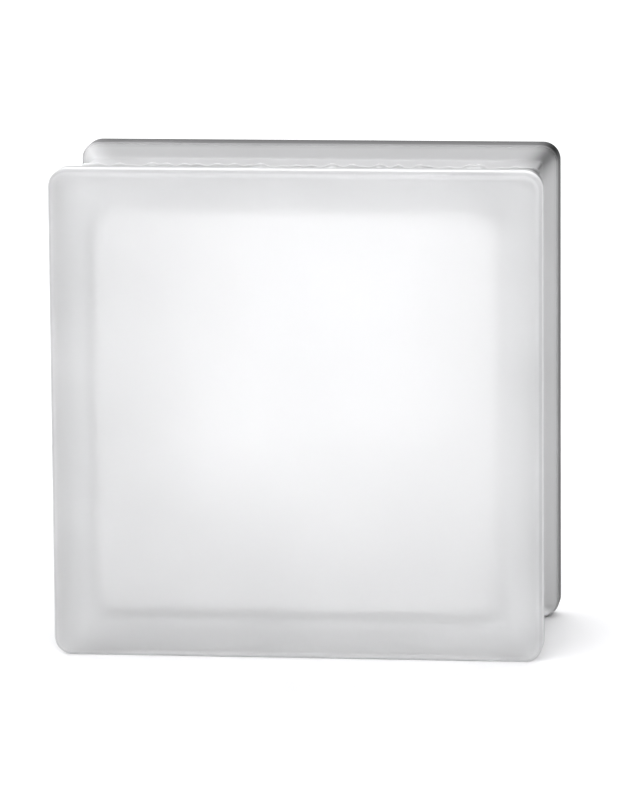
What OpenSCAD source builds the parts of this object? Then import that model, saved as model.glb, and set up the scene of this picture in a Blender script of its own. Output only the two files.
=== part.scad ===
// Hollow glass building block, standing on its lower rims with its front face towards -Y.
// Two pressed half shells are fused round the middle into one piece of glass, so the block has
// a sealed hollow between its two faces and a mortar channel round its four edges.

/* [Face] */
// Width of the block across its face
face_w = 190; // [120:1:300]
// Height of the block across its face
face_h = 190; // [120:1:300]
// Rounding where a face turns over into its rim
face_round = 3; // [1:0.5:4]

/* [Edge] */
// Depth of the block from face to face
block_d = 100; // [70:1:120]
// Width of the flat rim behind each face, with the rounding
rim_w = 12; // [6:0.5:14]
// Depth of the mortar channel below the rims
channel_depth = 5.5; // [4.5:0.1:7]
// Slope in degrees of the S-shaped shoulder from a rim down to the channel floor
shoulder_slope = 36; // [30:1:50]
// Rounding at the top and at the foot of the shoulder
shoulder_round = 5; // [2:0.5:5]
// Corner radius of the channel floor
floor_corner_r = 1.5; // [1:0.5:10]

/* [Seam] */
// Width of the fused seam round the middle
seam_w = 6; // [3:0.5:8]
// Height of the seam above the glass on both sides of the wall
seam_h = 1; // [0.4:0.1:1.5]

/* [Hollow] */
// Thickness of the glass behind each face
face_wall = 7.5; // [5:0.5:14]
// Thickness of the glass between the channel floor and the hollow
side_wall = 8.5; // [5:0.5:14]
// Fillet between the inner faces and the inner sides
hollow_fillet = 6; // [2:0.5:10]
// Corner radius of the flat part of the inner faces
hollow_flat_r = 5; // [1:0.5:15]

/* [Hidden] */
$fn = 96;

half_d = block_d / 2;
rim_corner_r = floor_corner_r + channel_depth;
rim_start = half_d - rim_w;
// Run and drop of each rounded end of the shoulder, with a straight slope between the two
turn_run = shoulder_round * sin(shoulder_slope);
turn_drop = shoulder_round * (1 - cos(shoulder_slope));
shoulder_run = 2 * turn_run + (channel_depth - 2 * turn_drop) / tan(shoulder_slope);
shoulder_foot = rim_start - shoulder_run;
// Radius of the arc through the seam's two edges and its crest
seam_r = (seam_w * seam_w / 4 + seam_h * seam_h) / (2 * seam_h);
hollow_d = block_d - 2 * face_wall;
hollow_corner_r = hollow_flat_r + hollow_fillet;
hollow_inset = channel_depth + side_wall;
hollow_w = face_w - 2 * hollow_inset;
hollow_h = face_h - 2 * hollow_inset;

// Sweeps an edge section round a rectangle, with the section's x axis pointing outward:
// four straight runs, four turned corners and the core that they enclose
module framed(core_w, core_h, depth) {
    cube([core_w, core_h, depth], center = true);
    for (turn = [0 : 3]) {
        out = turn % 2 == 0 ? core_w : core_h;
        along = turn % 2 == 0 ? core_h : core_w;
        rotate(90 * turn) translate([out / 2, 0, 0]) {
            rotate([90, 0, 0]) linear_extrude(along, center = true) children();
            translate([0, along / 2, 0]) rotate_extrude(angle = 90) children();
        }
    }
}

// Quarter of a disc, for rounding an outer corner of a section
module quarter_disc(r) {
    intersection() {
        circle(r);
        square(r);
    }
}

// Flat rim of one face, rounded over where it meets the face
module rim_section() {
    translate([0, rim_start]) square([rim_corner_r - face_round, rim_w]);
    translate([0, rim_start]) square([rim_corner_r, rim_w - face_round]);
    translate([rim_corner_r - face_round, half_d - face_round]) quarter_disc(face_round);
}

// Shoulder of one rim: a rounded top, a straight slope and a hollowed foot
module shoulder_section() {
    top_x = rim_corner_r - turn_drop;
    top_y = rim_start - turn_run;
    foot_x = floor_corner_r + turn_drop;
    foot_y = shoulder_foot + turn_run;
    intersection() {
        translate([rim_corner_r - shoulder_round, rim_start]) circle(shoulder_round);
        translate([0, top_y]) square([rim_corner_r, turn_run]);
    }
    polygon([[0, foot_y], [foot_x, foot_y], [top_x, top_y], [0, top_y]]);
    difference() {
        translate([0, shoulder_foot]) square([foot_x, turn_run]);
        translate([floor_corner_r + shoulder_round, shoulder_foot]) circle(shoulder_round);
    }
}

// Low rounded ridge of the seam, cut off at the section's inner edge
module seam_section(crest) {
    intersection() {
        translate([crest - seam_r, 0]) circle(seam_r);
        translate([0, -seam_w]) square([crest, 2 * seam_w]);
    }
}

// Section of the block's edge, from the middle of a corner outward
module edge_section() {
    translate([0, -shoulder_foot]) square([floor_corner_r, 2 * shoulder_foot]);
    for (side = [0, 1]) mirror([0, side]) {
        rim_section();
        shoulder_section();
    }
    seam_section(floor_corner_r + seam_h);
}

// Section of the hollow's edge, filleted to the inner faces and notched by the inside of the seam
module hollow_section() {
    difference() {
        union() {
            translate([0, -hollow_d / 2]) square([hollow_flat_r, hollow_d]);
            translate([0, hollow_fillet - hollow_d / 2])
                square([hollow_corner_r, hollow_d - 2 * hollow_fillet]);
            for (side = [0, 1]) mirror([0, side])
                translate([hollow_flat_r, hollow_d / 2 - hollow_fillet]) quarter_disc(hollow_fillet);
        }
        translate([hollow_corner_r - seam_h + seam_r, 0]) circle(seam_r);
    }
}

// The whole block: the outer form less the sealed hollow
module glass_block() {
    color("azure", 0.6) translate([0, 0, face_h / 2]) rotate([90, 0, 0]) difference() {
        framed(face_w - 2 * rim_corner_r, face_h - 2 * rim_corner_r, block_d) edge_section();
        framed(hollow_w - 2 * hollow_corner_r, hollow_h - 2 * hollow_corner_r, hollow_d) hollow_section();
    }
}

glass_block();
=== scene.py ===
"""Dresses the glass block: satin faces, pressed edges, and a fused seam with its ripples."""
import math
import random
from collections import namedtuple

import bpy
from mathutils import Matrix, Vector


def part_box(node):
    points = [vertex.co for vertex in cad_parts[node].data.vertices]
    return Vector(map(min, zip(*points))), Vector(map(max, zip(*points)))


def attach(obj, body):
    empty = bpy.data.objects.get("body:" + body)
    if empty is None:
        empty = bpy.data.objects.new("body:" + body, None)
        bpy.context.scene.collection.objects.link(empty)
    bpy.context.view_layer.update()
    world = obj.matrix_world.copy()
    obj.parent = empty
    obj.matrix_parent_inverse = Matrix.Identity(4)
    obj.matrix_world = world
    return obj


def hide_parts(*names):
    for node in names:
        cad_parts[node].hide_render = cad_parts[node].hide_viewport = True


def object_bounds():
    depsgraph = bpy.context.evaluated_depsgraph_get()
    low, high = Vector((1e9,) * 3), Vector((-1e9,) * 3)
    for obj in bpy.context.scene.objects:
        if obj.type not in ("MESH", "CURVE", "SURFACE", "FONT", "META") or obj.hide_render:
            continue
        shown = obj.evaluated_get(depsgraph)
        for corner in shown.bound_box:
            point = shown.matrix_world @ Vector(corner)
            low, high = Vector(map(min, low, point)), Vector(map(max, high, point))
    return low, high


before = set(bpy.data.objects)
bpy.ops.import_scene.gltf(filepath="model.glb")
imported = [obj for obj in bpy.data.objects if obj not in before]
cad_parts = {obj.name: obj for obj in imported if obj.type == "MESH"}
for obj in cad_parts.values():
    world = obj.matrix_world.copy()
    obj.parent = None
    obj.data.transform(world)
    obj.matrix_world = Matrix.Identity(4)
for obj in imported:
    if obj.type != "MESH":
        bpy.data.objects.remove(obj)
cad_low, cad_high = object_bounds()

MM = 0.001
NODE = "glass_block"

# Edge section of the block, as in the CAD solid
FACE_ROUND = 3 * MM
RIM_W = 12 * MM
CHANNEL_DEPTH = 5.5 * MM
SHOULDER_SLOPE = 36
SHOULDER_ROUND = 5 * MM
FLOOR_CORNER_R = 1.5 * MM
SEAM_W = 6 * MM
SEAM_H = 1 * MM
FACE_WALL = 7.5 * MM
SIDE_WALL = 8.5 * MM
HOLLOW_FILLET = 6 * MM
HOLLOW_FLAT_R = 5 * MM

# How far out the hollow's side wall lies, where the rims are 0
HOLLOW_OUT = -CHANNEL_DEPTH - SIDE_WALL

# Fineness of the visible mesh: steps along a side and round a corner, steps along each part of
# the section, and the strip of each face that keeps its shading flat up to the rounded edge
SIDE_STEPS = 140
CORNER_STEPS = 12
ARC_STEPS = 8
CHANNEL_STEPS = 6
SHOULDER_STEPS = 4
RIM_STEPS = 6
HOLLOW_STEPS = 6
FLAT_SUPPORT = 1 * MM

# Ripples of the fused seam, as bell shapes: mean spacing, greatest height and mean width, the
# shares of these that each draw may take, how many widths off a ripple no longer counts, and
# how near a corner the ripples begin to calm down
RIPPLE_PITCH = 6.5 * MM
RIPPLE_HEIGHT = 1.3 * MM
RIPPLE_WIDTH = 2.2 * MM
RIPPLE_SHIFTS = (-0.3, 0.3)
RIPPLE_HEIGHTS = (0.2, 1)
RIPPLE_WIDTHS = (0.7, 1.3)
RIPPLE_CUTOFF = 4
RIPPLE_CALM = 12 * MM
OUTER_SEED = 5
HOLLOW_SEED = 8

# Finish of each stretch of the surface: roughness, clearness as the shader's base colour, which
# also carries painted shade and painted highlights, share of the light that a white haze holds
# back from the glass, and gloss of that haze
Finish = namedtuple("Finish", "rough clearness haze gloss")
FACE_FINISH = Finish(0.95, 1.0, 0.25, 0.5)
ROUND_INNER_FINISH = Finish(0.7, 0.95, 0.3, 0.5)
ROUND_OUTER_FINISH = Finish(0.6, 0.75, 0.45, 0.5)
SATIN_RIM_FINISH = Finish(0.5, 0.9, 0.65, 0.5)
SIDE_FINISH = Finish(0.35, 0.40, 0.45, 0.35)
# Painted shade: the back rim's two finishes are a dark, nearly opaque grey for the dark surroundings
# that the clear rim reflects and refracts
PAINTED_SHADE_RIM_INNER_FINISH = Finish(0.1, 0.2, 1.1, 0.0)
PAINTED_SHADE_RIM_FINISH = Finish(0.05, 0.14, 0.95, 0.0)
BACK_FACE_FINISH = Finish(0.6, 1.0, 0.12, 0.5)
HOLLOW_FINISH = Finish(0.15, 1.0, 0.0, 0.5)
# Painted highlight: a lighter finish for the tops of the seam's ripples, where light catches them
SEAM_PAINTED_GLINT_FINISH = Finish(0.3, 0.75, 0.45, 0.5)

# Width of the satin on the front rim and its rounding, length of the fade from the back rim's
# painted shade to the channel, and how near a plane a point counts as lying on it
SATIN_RIM_W = 8 * MM
RIM_SHADE_FADE = 3.5 * MM
HAIR = 0.01 * MM

# Where the front finishes end, measured from the front face
FRONT_STRETCHES = (
    (HAIR, FACE_FINISH),
    (FACE_ROUND * (1 - math.sqrt(0.5)), ROUND_INNER_FINISH),
    (FACE_ROUND - HAIR, ROUND_OUTER_FINISH),
    (SATIN_RIM_W, SATIN_RIM_FINISH),
)

# Where the other finishes lie, measured from the back face, with a fade from each to the next;
# the back rim's finishes are painted shade
BACK_STOPS = (
    (0, BACK_FACE_FINISH),
    (FACE_ROUND, PAINTED_SHADE_RIM_FINISH),
    (RIM_W + RIM_SHADE_FADE / 3, PAINTED_SHADE_RIM_INNER_FINISH),
    (RIM_W + RIM_SHADE_FADE, SIDE_FINISH),
)

# Painted shade along each corner of the mortar channel, darkening the crease where the channel
# turns, by whether the corner is right and upper: strongest at the upper right, which gets less
# light; below 0 it is painted light instead, as at the upper left, which the light from the left
# brightens; and how far the painted shade reaches to either side
CORNER_PAINTED_SHADES = {(True, True): 0.85, (False, True): -0.7, (True, False): 0.1, (False, False): 0.1}
CORNER_SHADE_REACH = 6 * MM

# Body of the glass: its refraction, and the colour and density of its tint
GLASS_IOR = 1.52
GLASS_TINT = (0.785, 0.80, 0.805)
GLASS_DENSITY = 6.0

# Noise in the glass: unevenness of the haze, with the least and greatest share of it that shows,
# waviness of the pressed surface, and grain of the satin
CLOUD_SCALE = 22
HAZE_LEAST, HAZE_MOST = 0.6, 1.4
WAVE_SCALE = 45
WAVE_STRENGTH = 0.25
WAVE_HEIGHT = 0.3 * MM
GRAIN_SCALE = 1800
GRAIN_HEIGHT = 0.1 * MM

# Floor, with half its side in metres
FLOOR_REACH = 12.0
FLOOR_GREY = 0.92
FLOOR_ROUGHNESS = 0.9

# Share of the full light at each elevation of the sky in degrees, and the light itself: what comes
# from everywhere, what it loses to the right, what front and back add, and how much the front leads
SKY_LEVELS = ((1, 0.06), (12, 0.12), (24, 0.9), (32, 1.0))
SKY_BASE = 0.45
SKY_FALL = -0.42
SKY_FRONT_BACK = 4.9
SKY_LEAN = 0.03
SKY_TINT = (0.985, 0.985, 1.0)

# Camera fitted to the photograph's frame
FRAME_W, FRAME_H = 618, 800
CAMERA_AZIMUTH, CAMERA_ELEVATION, CAMERA_ROLL = 6.83, 9.62, -0.45
CAMERA_DISTANCE = 2267 * MM
PIXELS_PER_METRE = 2549.1
CENTRE_PIXEL = (310.1, 395.3)
SENSOR = 36.0
CLIP_START, CLIP_END = 0.1, 100

# Light passes several walls of glass before it reaches the camera
MAX_BOUNCES = 32
TRANSMISSION_BOUNCES = 24
GLOSSY_BOUNCES = 12


def link(obj):
    """Puts an object in the scene."""
    bpy.context.scene.collection.objects.link(obj)
    return obj


def arc(centre, radius, start, end):
    """Points (out, depth) on an arc, angles in degrees from the outward axis."""
    points = []
    for i in range(ARC_STEPS + 1):
        a = math.radians(start + (end - start) * i / ARC_STEPS)
        points.append((centre[0] + radius * math.cos(a), centre[1] + radius * math.sin(a)))
    return points


def straight(start, end, steps):
    """Points between two section points, with neither end."""
    return [
        (start[0] + (end[0] - start[0]) * i / steps, start[1] + (end[1] - start[1]) * i / steps)
        for i in range(1, steps)
    ]


def seam_curve():
    """Radius of the seam's arc, and the angle in degrees from its crest to its foot."""
    radius = (SEAM_W * SEAM_W / 4 + SEAM_H * SEAM_H) / (2 * SEAM_H)
    return radius, math.degrees(math.asin(SEAM_W / 2 / radius))


def outer_half(half_d):
    """Outer section from the seam's crest to the flat of the face; out is 0 at the rims."""
    floor = -CHANNEL_DEPTH
    rim_start = half_d - RIM_W
    slope = math.radians(SHOULDER_SLOPE)
    turn_run = SHOULDER_ROUND * math.sin(slope)
    turn_drop = SHOULDER_ROUND * (1 - math.cos(slope))
    foot = rim_start - 2 * turn_run - (CHANNEL_DEPTH - 2 * turn_drop) / math.tan(slope)
    seam_r, seam_angle = seam_curve()
    seam = arc((floor + SEAM_H - seam_r, 0), seam_r, 0, seam_angle)
    lower = arc((floor + SHOULDER_ROUND, foot), SHOULDER_ROUND, 180, 180 - SHOULDER_SLOPE)
    upper = arc((-SHOULDER_ROUND, rim_start), SHOULDER_ROUND, -SHOULDER_SLOPE, 0)
    edge = arc((-FACE_ROUND, half_d - FACE_ROUND), FACE_ROUND, 0, 90)
    channel = straight(seam[-1], lower[0], CHANNEL_STEPS)
    shoulder = straight(lower[-1], upper[0], SHOULDER_STEPS)
    rim = straight(upper[-1], edge[0], RIM_STEPS)
    flat = [(-FACE_ROUND - FLAT_SUPPORT, half_d)]
    return seam + channel + lower + shoulder + upper + rim + edge + flat


def hollow_half(half_d):
    """Section of the hollow from the seam's inner crest to the flat of the inner face."""
    seam_r, seam_angle = seam_curve()
    seam = arc((HOLLOW_OUT - SEAM_H + seam_r, 0), seam_r, 180, 180 - seam_angle)
    fillet_at = half_d - FACE_WALL - HOLLOW_FILLET
    fillet = arc((HOLLOW_OUT - HOLLOW_FILLET, fillet_at), HOLLOW_FILLET, 0, 90)
    wall = straight(seam[-1], fillet[0], HOLLOW_STEPS)
    flat = [(HOLLOW_OUT - HOLLOW_FILLET - FLAT_SUPPORT, half_d - FACE_WALL)]
    return seam + wall + fillet + flat


def whole(half):
    """Section from the front face's flat to the back face's flat."""
    return [(out, -depth) for out, depth in reversed(half)] + half[1:]


def ring(half_w, half_h, radius):
    """Points (x, z) round a rounded rectangle with the same count for every size."""
    points = []
    for turn in range(4):
        out, along = (half_w, half_h) if turn % 2 == 0 else (half_h, half_w)
        local = []
        for i in range(SIDE_STEPS):
            local.append((out, (along - radius) * (2 * i / SIDE_STEPS - 1)))
        for i in range(CORNER_STEPS):
            a = math.pi / 2 * i / CORNER_STEPS
            local.append((
                out - radius + radius * math.cos(a),
                along - radius + radius * math.sin(a),
            ))
        c = round(math.cos(turn * math.pi / 2))
        s = round(math.sin(turn * math.pi / 2))
        points += [(x * c - z * s, x * s + z * c) for x, z in local]
    return points


def ripples(seed, length):
    """Height of the seam's ripples along its length, as a function that closes on itself."""
    draw = random.Random(seed)
    count = int(length / RIPPLE_PITCH)
    bumps = []
    for i in range(count):
        place = (i + draw.uniform(*RIPPLE_SHIFTS)) * length / count
        tall = RIPPLE_HEIGHT * draw.uniform(*RIPPLE_HEIGHTS)
        wide = RIPPLE_WIDTH * draw.uniform(*RIPPLE_WIDTHS)
        bumps.append((place, tall, wide))

    def height(at):
        total = 0
        for place, tall, wide in bumps:
            gap = abs(at - place)
            gap = min(gap, length - gap)
            if gap < RIPPLE_CUTOFF * wide:
                total += tall * math.exp(-((gap / wide) ** 2))
        return total

    return height


def ripple_heights(loop, half_w, half_h, seed):
    """Height of the ripples at each point of a loop round the block, calm at its corners."""
    places = [0.0]
    for i in range(len(loop)):
        places.append(places[-1] + math.dist(loop[i - 1], loop[i]))
    ripple = ripples(seed, places[-1])
    heights = []
    for place, (x, z) in zip(places[1:], loop):
        to_corner = max(half_w - abs(x), half_h - abs(z))
        heights.append(ripple(place) * min(1.0, to_corner / RIPPLE_CALM))
    return heights


def swept_verts(section, corner_r, half_w, half_h, start, seed):
    """Rows of points of a section swept round the block, each with the ripples pushed outwards.

    The corner radius and the half sizes are those at the place where the section's out is start.
    """
    heights = ripple_heights(ring(half_w, half_h, corner_r), half_w, half_h, seed)
    verts = []
    for out, depth in section:
        near_seam = max(0.0, 1 - (2 * depth / SEAM_W) ** 2)
        radius = corner_r + out - start
        row_w = half_w + out - start
        row_h = half_h + out - start
        for (x, z), height in zip(ring(row_w, row_h, radius), heights):
            grow = height * near_seam
            grow_x = math.copysign(grow, x) if abs(x) >= row_w - radius else 0.0
            grow_z = math.copysign(grow, z) if abs(z) >= row_h - radius else 0.0
            verts.append((x + grow_x, depth, z + grow_z))
    return verts


def swept_faces(verts, rows, faces_out):
    """Faces between the rows of a swept section and across its two ends."""
    count = len(verts) // rows
    faces = []
    for row in range(rows - 1):
        for i in range(count):
            a = row * count + i
            b = row * count + (i + 1) % count
            quad = [a, b, b + count, a + count]
            faces.append(quad[::-1] if faces_out else quad)
    front = list(range(count))
    back = list(range((rows - 1) * count, rows * count))
    faces.append(front if faces_out else front[::-1])
    faces.append(back[::-1] if faces_out else back)
    return faces


def between(first, second, share):
    """Finish that lies between two others, for a share from 0 to 1."""
    share = min(1.0, max(0.0, share))
    return Finish(*(a + (b - a) * share for a, b in zip(first, second)))


def back_finish(to_back):
    """Finish at a distance from the back face, which fades from one stop to the next."""
    before, first = BACK_STOPS[0]
    for after, second in BACK_STOPS[1:]:
        if to_back < after:
            return between(first, second, (to_back - before) / (after - before))
        before, first = after, second
    return first


def finish_at(point, half_w, half_d, half_h):
    """Finish of the outer surface at a point, with painted shade on the back rim and where the
    channel turns a corner, and a painted highlight on the seam's ripples.
    """
    x, y, z = point
    for end, finish in FRONT_STRETCHES:
        if y + half_d < end:
            return finish
    if half_d - y < HAIR:
        return BACK_FACE_FINISH
    finish = back_finish(half_d - y)
    # Painted highlight: the seam's finish grows lighter towards the tops of its ripples
    if abs(y) < SEAM_W / 2:
        rise = max(abs(x) - half_w, abs(z) - half_h) + CHANNEL_DEPTH
        finish = between(SIDE_FINISH, SEAM_PAINTED_GLINT_FINISH, (rise / (SEAM_H + RIPPLE_HEIGHT)) ** 2)
    # Painted shade along the channel's corners, and painted light where the value is below 0
    along = (half_w - abs(x)) - (half_h - abs(z))
    shade = CORNER_PAINTED_SHADES[x > 0, z > 0] * math.exp(-((along / CORNER_SHADE_REACH) ** 2))
    return finish._replace(clearness=min(1.0, finish.clearness * (1 - shade)))


def block_mesh():
    """One closed mesh: the outer shell and the hollow's shell, with the finish of each point."""
    low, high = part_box(NODE)
    half_w, half_d, half_h = (high - low) / 2
    centre = (low + high) / 2
    outer = whole(outer_half(half_d))
    verts = swept_verts(outer, FLOOR_CORNER_R + CHANNEL_DEPTH, half_w, half_h, 0, OUTER_SEED)
    faces = swept_faces(verts, len(outer), True)
    hollow = whole(hollow_half(half_d))
    inner_verts = swept_verts(
        hollow,
        HOLLOW_FLAT_R + HOLLOW_FILLET,
        half_w + HOLLOW_OUT,
        half_h + HOLLOW_OUT,
        HOLLOW_OUT,
        HOLLOW_SEED,
    )
    inner_faces = swept_faces(inner_verts, len(hollow), False)
    faces += [[i + len(verts) for i in face] for face in inner_faces]
    finish = [finish_at(point, half_w, half_d, half_h) for point in verts]
    finish += [HOLLOW_FINISH] * len(inner_verts)
    mesh = bpy.data.meshes.new("glass_block_visual")
    mesh.from_pydata([Vector(v) + centre for v in verts + inner_verts], [], faces)
    for name in Finish._fields:
        values = [getattr(point, name) for point in finish]
        mesh.attributes.new(name, "FLOAT", "POINT").data.foreach_set("value", values)
    mesh.shade_smooth()
    mesh.update()
    mesh.validate()
    return mesh


def add_math(tree, operation, *values):
    """Output of a new math node; each value is a number or the output of another node."""
    node = tree.nodes.new("ShaderNodeMath")
    node.operation = operation
    for socket, value in zip(node.inputs, values):
        if isinstance(value, bpy.types.NodeSocket):
            tree.links.new(value, socket)
        else:
            socket.default_value = value
    return node.outputs["Value"]


def add_noise(tree, place, scale):
    """Output of a new noise texture at a place."""
    node = tree.nodes.new("ShaderNodeTexNoise")
    node.inputs["Scale"].default_value = scale
    tree.links.new(place, node.inputs["Vector"])
    return node.outputs["Fac"]


def add_finish(tree, name):
    """Output of a new node that reads one part of the finish from the mesh."""
    node = tree.nodes.new("ShaderNodeAttribute")
    node.attribute_name = name
    return node.outputs["Fac"]


def glass_material():
    """Tinted glass with the finish that the mesh holds, painted shade and highlights among it,
    uneven haze, and waves and grain as bump.
    """
    material = bpy.data.materials.new("block_glass")
    material.use_nodes = True
    tree = material.node_tree
    nodes, links = tree.nodes, tree.links
    shader = nodes["Principled BSDF"]
    shader.inputs["IOR"].default_value = GLASS_IOR
    rough, clearness, haze, gloss = (add_finish(tree, name) for name in Finish._fields)
    links.new(rough, shader.inputs["Roughness"])
    # The base colour carries painted shade and painted highlights besides the glass's clearness
    links.new(clearness, shader.inputs["Base Color"])
    links.new(gloss, shader.inputs["Specular IOR Level"])

    place = nodes.new("ShaderNodeTexCoord").outputs["Object"]
    uneven = nodes.new("ShaderNodeMapRange")
    uneven.inputs["To Min"].default_value = -HAZE_LEAST
    uneven.inputs["To Max"].default_value = -HAZE_MOST
    links.new(add_noise(tree, place, CLOUD_SCALE), uneven.inputs["Value"])
    passing = add_math(tree, "MULTIPLY_ADD", haze, uneven.outputs["Result"], 1.0)
    links.new(passing, shader.inputs["Transmission Weight"])

    wavy = nodes.new("ShaderNodeBump")
    wavy.inputs["Strength"].default_value = WAVE_STRENGTH
    wavy.inputs["Distance"].default_value = WAVE_HEIGHT
    links.new(add_noise(tree, place, WAVE_SCALE), wavy.inputs["Height"])
    etched = nodes.new("ShaderNodeBump")
    etched.inputs["Distance"].default_value = GRAIN_HEIGHT
    links.new(add_math(tree, "MULTIPLY", haze, gloss), etched.inputs["Strength"])
    links.new(add_noise(tree, place, GRAIN_SCALE), etched.inputs["Height"])
    links.new(wavy.outputs["Normal"], etched.inputs["Normal"])
    links.new(etched.outputs["Normal"], shader.inputs["Normal"])

    tint = nodes.new("ShaderNodeVolumeAbsorption")
    tint.inputs["Color"].default_value = (*GLASS_TINT, 1)
    tint.inputs["Density"].default_value = GLASS_DENSITY
    links.new(tint.outputs["Volume"], nodes["Material Output"].inputs["Volume"])
    return material


def floor_material():
    """Pale matt floor."""
    material = bpy.data.materials.new("pale_floor")
    material.use_nodes = True
    shader = material.node_tree.nodes["Principled BSDF"]
    shader.inputs["Base Color"].default_value = (FLOOR_GREY, FLOOR_GREY, FLOOR_GREY, 1)
    shader.inputs["Roughness"].default_value = FLOOR_ROUGHNESS
    return material


def make_floor():
    """Square floor under the block, as the stage."""
    mesh = bpy.data.meshes.new("floor")
    corners = [
        (-FLOOR_REACH, -FLOOR_REACH, 0),
        (FLOOR_REACH, -FLOOR_REACH, 0),
        (FLOOR_REACH, FLOOR_REACH, 0),
        (-FLOOR_REACH, FLOOR_REACH, 0),
    ]
    mesh.from_pydata(corners, [], [(0, 1, 2, 3)])
    floor = link(bpy.data.objects.new("floor", mesh))
    mesh.materials.append(floor_material())


def make_world():
    """Soft light from high up in front and behind, and little from the sides."""
    world = bpy.data.worlds.new("studio")
    bpy.context.scene.world = world
    world.use_nodes = True
    tree = world.node_tree
    nodes, links = tree.nodes, tree.links
    background = nodes["Background"]
    direction = nodes.new("ShaderNodeTexCoord")
    parts = nodes.new("ShaderNodeSeparateXYZ")
    links.new(direction.outputs["Generated"], parts.inputs["Vector"])

    ramp = nodes.new("ShaderNodeValToRGB")
    stops = ramp.color_ramp.elements
    for elevation, level in SKY_LEVELS:
        stop = stops.new(math.sin(math.radians(elevation)))
        stop.color = [level * part for part in SKY_TINT] + [1]
    stops.remove(stops[0])
    stops.remove(stops[-1])
    links.new(parts.outputs["Z"], ramp.inputs["Fac"])
    links.new(ramp.outputs["Color"], background.inputs["Color"])

    depth = add_math(tree, "SUBTRACT", parts.outputs["Y"], SKY_LEAN)
    front_back = add_math(tree, "MULTIPLY", depth, depth)
    base = add_math(tree, "MULTIPLY_ADD", parts.outputs["X"], SKY_FALL, SKY_BASE)
    strength = add_math(tree, "MULTIPLY_ADD", front_back, SKY_FRONT_BACK, base)
    links.new(strength, background.inputs["Strength"])


def make_camera(target):
    """Camera that looks at a target from the photograph's angle, with the photograph's framing."""
    azimuth = math.radians(CAMERA_AZIMUTH)
    elevation = math.radians(CAMERA_ELEVATION)
    roll = math.radians(CAMERA_ROLL)
    back = Vector((
        math.sin(azimuth) * math.cos(elevation),
        -math.cos(azimuth) * math.cos(elevation),
        math.sin(elevation),
    ))
    level = Vector((math.cos(azimuth), math.sin(azimuth), 0))
    up = back.cross(level)
    right = level * math.cos(roll) + up * math.sin(roll)
    top = up * math.cos(roll) - level * math.sin(roll)
    data = bpy.data.cameras.new("camera")
    data.sensor_width = SENSOR
    data.lens = PIXELS_PER_METRE * CAMERA_DISTANCE * SENSOR / FRAME_H
    data.shift_x = (FRAME_W / 2 - CENTRE_PIXEL[0]) / FRAME_H
    data.shift_y = (CENTRE_PIXEL[1] - FRAME_H / 2) / FRAME_H
    data.clip_start = CLIP_START
    data.clip_end = CLIP_END
    camera = link(bpy.data.objects.new("camera", data))
    turn = Matrix((right, top, back)).transposed().to_4x4()
    camera.matrix_world = Matrix.Translation(target + back * CAMERA_DISTANCE) @ turn
    bpy.context.scene.camera = camera


block = link(bpy.data.objects.new("glass_block_visual", block_mesh()))
block.data.materials.append(glass_material())
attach(block, "root")
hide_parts(NODE)

make_floor()
make_world()
make_camera((cad_low + cad_high) / 2)

scene = bpy.context.scene
scene.view_settings.view_transform = "Standard"
scene.cycles.use_denoising = True
scene.cycles.max_bounces = MAX_BOUNCES
scene.cycles.transmission_bounces = TRANSMISSION_BOUNCES
scene.cycles.glossy_bounces = GLOSSY_BOUNCES
